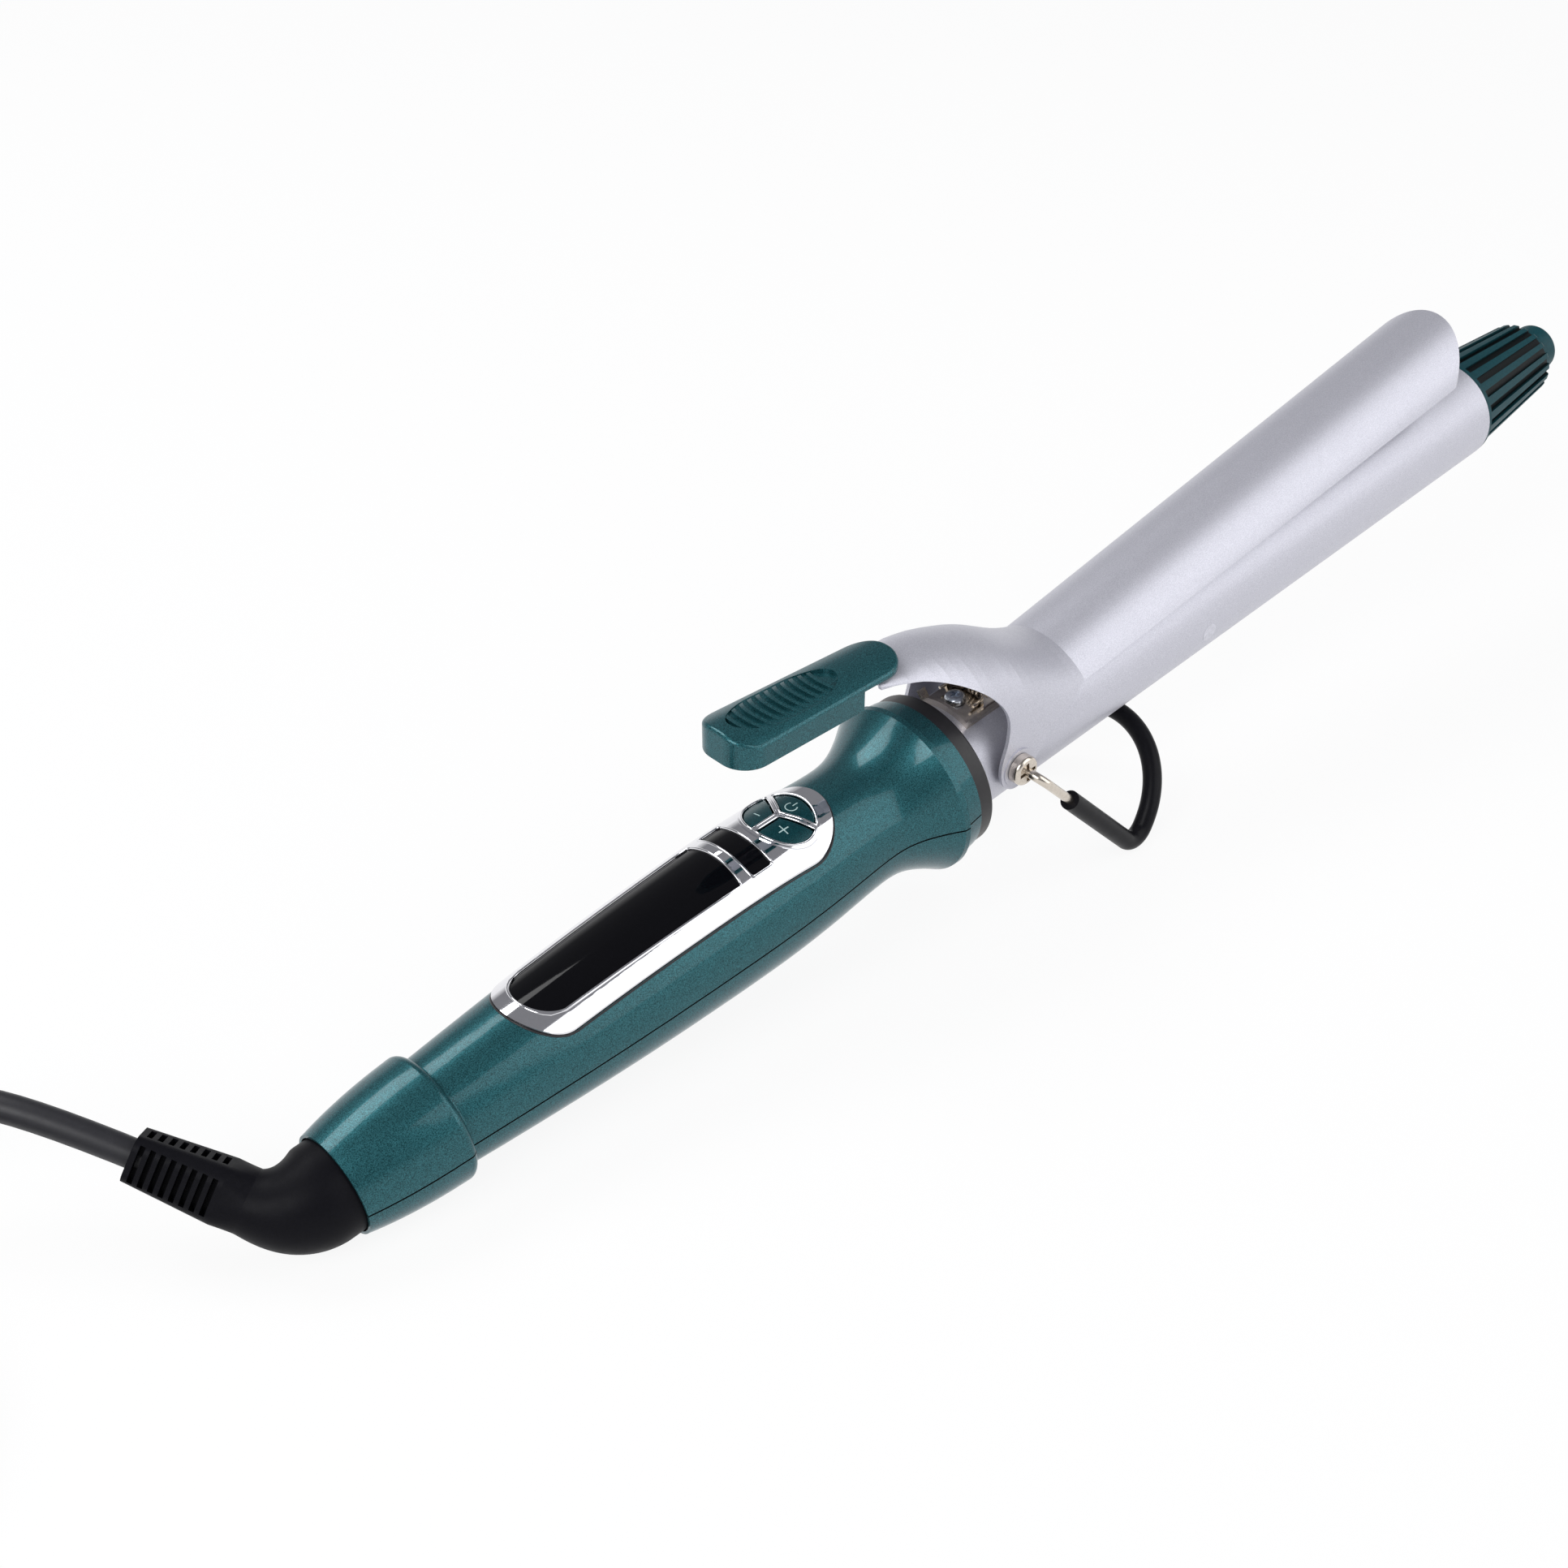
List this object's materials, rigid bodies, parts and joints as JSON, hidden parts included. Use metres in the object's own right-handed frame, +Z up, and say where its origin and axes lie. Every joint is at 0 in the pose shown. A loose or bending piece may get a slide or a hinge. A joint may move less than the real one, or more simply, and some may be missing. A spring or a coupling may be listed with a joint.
{
  "type": "curling iron",
  "caption": "Corded curling iron with a spring clamp and thumb lever on a heated barrel, display panel with keys, fold-out wire stand, cool tip and swivel cord.",
  "frame": {"origin": "on the surface it stands on, under the middle of the iron without its cord", "axes": "+X along the iron to the cool tip, +Z up"},
  "size_m": [0.5637, 0.0947, 0.0835],
  "materials": {
    "pearl_teal": "pearl metallic lacquer",
    "teal_nylon": "satin moulded",
    "key_teal": "moulded",
    "black_nylon": "matte moulded",
    "satin_silver": "satin ceramic lacquer",
    "pale_dot": "satin",
    "aluminium": "extruded",
    "ceramic": "fired ceramic",
    "lead_sleeve": "silicone",
    "board": "solder mask",
    "brass": "plain",
    "chrome": "bright plated",
    "black_gloss": "polished",
    "nickel": "nickel plated",
    "zinc": "zinc plated",
    "sleeve_rubber": "satin silicone",
    "boot_rubber": "matte",
    "cord_rubber": "matte",
    "tie": "matte"
  },
  "bodies": {
    "handle": {"lower_handle_shell": "pearl_teal", "upper_handle_shell": "pearl_teal", "heat_ring": "black_nylon", "barrel": "satin_silver", "heat_dot": "pale_dot", "tip_cap": "teal_nylon", "upper_heater_block": "aluminium", "lower_heater_block": "aluminium", "ceramic_heater": "ceramic", "temperature_sensor": "ceramic", "heater_leads": "lead_sleeve", "circuit_board": "board", "display_module": "black_nylon", "tact_switches": "black_nylon", "contact_brush": "brass", "bezel": "chrome", "display_lens": "black_gloss", "indicator_lens": "black_gloss", "spring_saddle": "nickel", "saddle_screw": "zinc", "spring_pin": "nickel", "clamp_spring": "nickel", "near_pivot_screw": "nickel", "far_pivot_screw": "nickel"},
    "clamp": {"clamp": "satin_silver", "thumb_lever": "pearl_teal", "lever_screws": "zinc"},
    "stand": {"stand_wire": "nickel", "stand_sleeve": "sleeve_rubber"},
    "cord_swivel": {"swivel_boot": "boot_rubber", "slip_ring": "brass", "cord": "cord_rubber", "cord_coil": "cord_rubber", "coil_tie": "tie", "plug": "boot_rubber", "plug_pins": "nickel"},
    "power_button": {"power_button": "key_teal"},
    "plus_button": {"plus_button": "key_teal"},
    "minus_button": {"minus_button": "key_teal"}
  },
  "joints": [
    {"name": "clamp_hinge", "type": "hinge", "parent": "handle", "child": "clamp", "pos_m": [-0.02382, 0, 0.03332], "axis": [0, -1, 0], "range_deg": [-6.2, 16], "stiffness_Nm_per_rad": 1.5, "deforming": ["clamp_spring"]},
    {"name": "stand_hinge", "type": "hinge", "parent": "handle", "child": "stand", "pos_m": [-0.02382, 0, 0.03332], "axis": [0, 1, 0], "range_deg": [0, 132]},
    {"name": "cord_swivel", "type": "hinge", "parent": "handle", "child": "cord_swivel", "pos_m": [-0.17772, 0, 0.01103], "axis": [0.991, 0, 0.1338], "continuous": true},
    {"name": "power_button_press", "type": "slide", "parent": "handle", "child": "power_button", "axis": [0.1338, 0, -0.991], "range_m": [0, 0.0006], "stiffness_N_per_m": 500},
    {"name": "plus_button_press", "type": "slide", "parent": "handle", "child": "plus_button", "axis": [0.1338, 0, -0.991], "range_m": [0, 0.0006], "stiffness_N_per_m": 500},
    {"name": "minus_button_press", "type": "slide", "parent": "handle", "child": "minus_button", "axis": [0.1338, 0, -0.991], "range_m": [0, 0.0006], "stiffness_N_per_m": 500}
  ]
}
